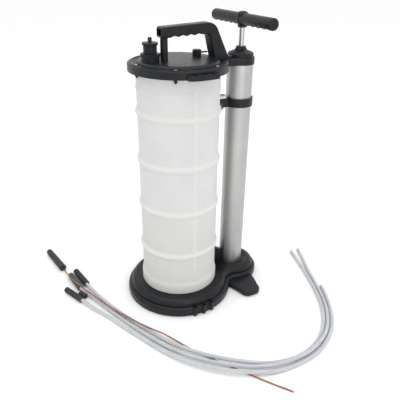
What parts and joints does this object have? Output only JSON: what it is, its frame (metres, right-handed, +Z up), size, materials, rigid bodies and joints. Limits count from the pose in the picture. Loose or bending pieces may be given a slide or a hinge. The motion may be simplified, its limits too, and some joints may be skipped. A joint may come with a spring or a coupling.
{
  "type": "fluid transfer pump",
  "caption": "Hand-operated vacuum fluid transfer pump: ribbed translucent tank, lid with carry handle, side cylinder pump with T-handle, foot-pedal base and loose suction hoses.",
  "frame": {"origin": "on the floor plane under the tank's vertical axis, at the underside of the middle foot pad", "axes": "+Z up along the tank's axis; +X from the tank to the pump cylinder; the foot pedal and the probe sockets are on the -Y side"},
  "size_m": [0.6186, 0.6767, 0.6238],
  "materials": {
    "black_plastic": "fine grain, satin",
    "milky_plastic": "milky translucent, satin",
    "white_hose": "soft, slightly bluish white",
    "rubber": "matte",
    "aluminium": "polished tube",
    "steel": "bright",
    "copper": null
  },
  "bodies": {
    "body": {"base": "black_plastic", "base_side": "black_plastic", "base_front": "black_plastic", "base_rear": "black_plastic", "base_plate": "black_plastic", "probe_sockets": "black_plastic", "base_feet": "rubber", "tank": "milky_plastic", "tank_floor": "milky_plastic", "lid": "black_plastic", "lid_gasket": "rubber", "lid_screws": "steel", "screw_anchors": "black_plastic", "carry_handle": "black_plastic", "handle_screws": "steel", "inlet_collar": "black_plastic", "vent_spring": "steel", "float_cage": "black_plastic", "pump_cylinder": "aluminium", "foot_plug": "black_plastic", "foot_seal": "rubber", "foot_bolt": "steel", "bump_stop": "rubber", "head_cover": "black_plastic", "head_seal": "rubber", "rod_bush": "black_plastic", "rod_seal": "rubber", "gland_nut": "black_plastic", "valve_block": "black_plastic", "valve_cap": "black_plastic", "clamp_band": "black_plastic", "clamp_screw": "steel", "clamp_nut": "steel", "hose_1": "white_hose", "hose_2": "white_hose", "hose_3": "white_hose", "copper_tube": "copper", "rubber_end_1": "rubber", "rubber_end_2": "rubber", "rubber_end_3": "rubber", "rubber_end_4": "rubber", "probe_grip": "rubber"},
    "piston_group": {"piston": "black_plastic", "piston_cup": "rubber", "piston_washer": "aluminium"},
    "rod_group": {"pump_rod": "steel", "rod_nut": "steel", "t_handle": "black_plastic", "handle_pin": "steel"},
    "inlet_ring": {"inlet_seal": "rubber"},
    "inlet_cap": {"inlet_adaptor": "black_plastic"},
    "vent": {"vent_knob": "black_plastic", "vent_strap": "black_plastic", "vent_seal": "rubber", "vent_retainer": "black_plastic"},
    "float": {"float_ball": "white_hose"},
    "intake_valve": {"intake_disc": "rubber"},
    "exhaust_valve": {"exhaust_disc": "rubber"}
  },
  "joints": [
    {"name": "pump_stroke", "type": "slide", "parent": "body", "child": "piston_group", "axis": [0, 0, 1], "range_m": [0, 0.42]},
    {"name": "handle_turn", "type": "hinge", "parent": "piston_group", "child": "rod_group", "pos_m": [0.146, 0, 0.3], "axis": [0, 0, 1], "range_deg": [-60, 60]},
    {"name": "inlet_lift", "type": "slide", "parent": "body", "child": "inlet_ring", "axis": [0, 0, 1], "range_m": [0, 0.03]},
    {"name": "inlet_turn", "type": "hinge", "parent": "inlet_ring", "child": "inlet_cap", "pos_m": [-0.059, 0, 0.55], "axis": [0, 0, 1], "continuous": true},
    {"name": "vent_lift", "type": "slide", "parent": "body", "child": "vent", "axis": [0, 0, 1], "range_m": [0, 0.0025], "stiffness_N_per_m": 300, "springref_m": -0.004, "deforming": ["vent_spring"]},
    {"name": "float_rise", "type": "slide", "parent": "body", "child": "float", "axis": [0, 0, 1], "range_m": [0, 0.0185]},
    {"name": "intake_lift", "type": "slide", "parent": "body", "child": "intake_valve", "axis": [0, 0, 1], "range_m": [0, 0.003]},
    {"name": "exhaust_lift", "type": "slide", "parent": "body", "child": "exhaust_valve", "axis": [0, 0, 1], "range_m": [0, 0.003]}
  ]
}
